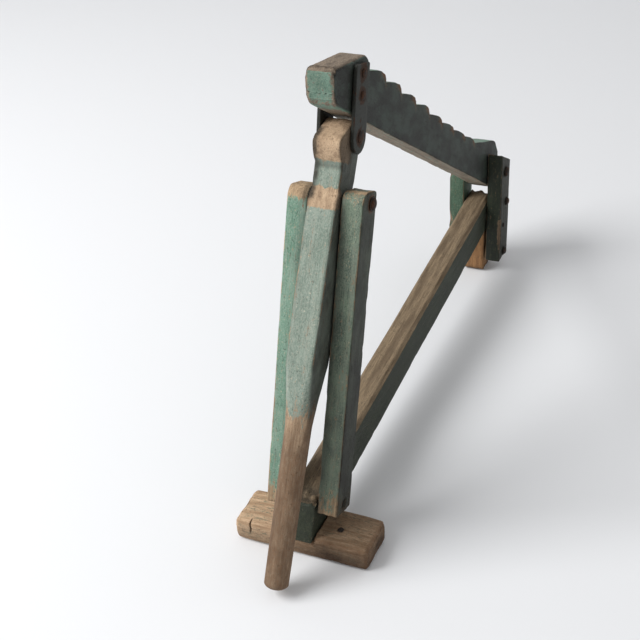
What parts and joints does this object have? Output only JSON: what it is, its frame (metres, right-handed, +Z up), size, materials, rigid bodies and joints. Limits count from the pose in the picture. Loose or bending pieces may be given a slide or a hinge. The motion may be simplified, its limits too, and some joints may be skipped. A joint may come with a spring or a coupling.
{
  "type": "wagon jack",
  "caption": "Wooden toggle jack with a stepped lifting bar, a pivoted pair of uprights and a long hand lever, for raising a wagon axle.",
  "frame": {"origin": "middle of the front foot's underside, on the floor", "axes": "+X across the jack to its right as seen from the foot, +Y from the foot to the rear frame, +Z up"},
  "size_m": [0.21, 1.0115, 0.6725],
  "materials": {
    "bare_wood": "weathered bare wood with worn edges",
    "green_painted_wood": "worn green paint over wood",
    "strap_iron": "blackened wrought iron with green paint traces",
    "rusty_iron": "rusted wrought iron"
  },
  "bodies": {
    "base": {"front_foot": "bare_wood", "base_beam": "green_painted_wood", "rear_cheek_left": "green_painted_wood", "rear_cheek_right": "green_painted_wood", "rear_leg": "bare_wood", "rear_bolt": "rusty_iron", "rear_bolt_washer": "rusty_iron", "beam_bolt": "rusty_iron", "beam_bolt_washer": "rusty_iron", "leg_bolt": "rusty_iron", "leg_bolt_washer": "rusty_iron", "beam_nails": "rusty_iron", "foot_nail": "rusty_iron", "cheek_nails": "rusty_iron"},
    "uprights": {"upright_left": "green_painted_wood", "upright_right": "green_painted_wood", "foot_pin": "rusty_iron", "lever_bolt": "rusty_iron", "lever_bolt_washer": "rusty_iron"},
    "lever": {"lever": "green_painted_wood"},
    "bar": {"step_bar": "green_painted_wood", "strap_left": "strap_iron", "strap_right": "strap_iron", "strap_pin": "rusty_iron", "strap_rivets": "rusty_iron"}
  },
  "joints": [
    {"name": "uprights_lean", "type": "hinge", "parent": "base", "child": "uprights", "pos_m": [0, 0.004, 0.08], "axis": [1, 0, 0], "range_deg": [0, 7.2]},
    {"name": "handle_swing", "type": "hinge", "parent": "uprights", "child": "lever", "pos_m": [0, 0.15397, 0.48148], "axis": [-1, 0, 0], "range_deg": [0, 45]},
    {"name": "bar_tilt", "type": "hinge", "parent": "lever", "child": "bar", "pos_m": [0, 0.19197, 0.55704], "axis": [1, 0, 0], "range_deg": [0, 40.1]}
  ],
  "couplings": [
    {"joint": "uprights_lean", "follows": "handle_swing", "ratio": 0.15825},
    {"joint": "bar_tilt", "follows": "handle_swing", "ratio": 0.88923}
  ]
}
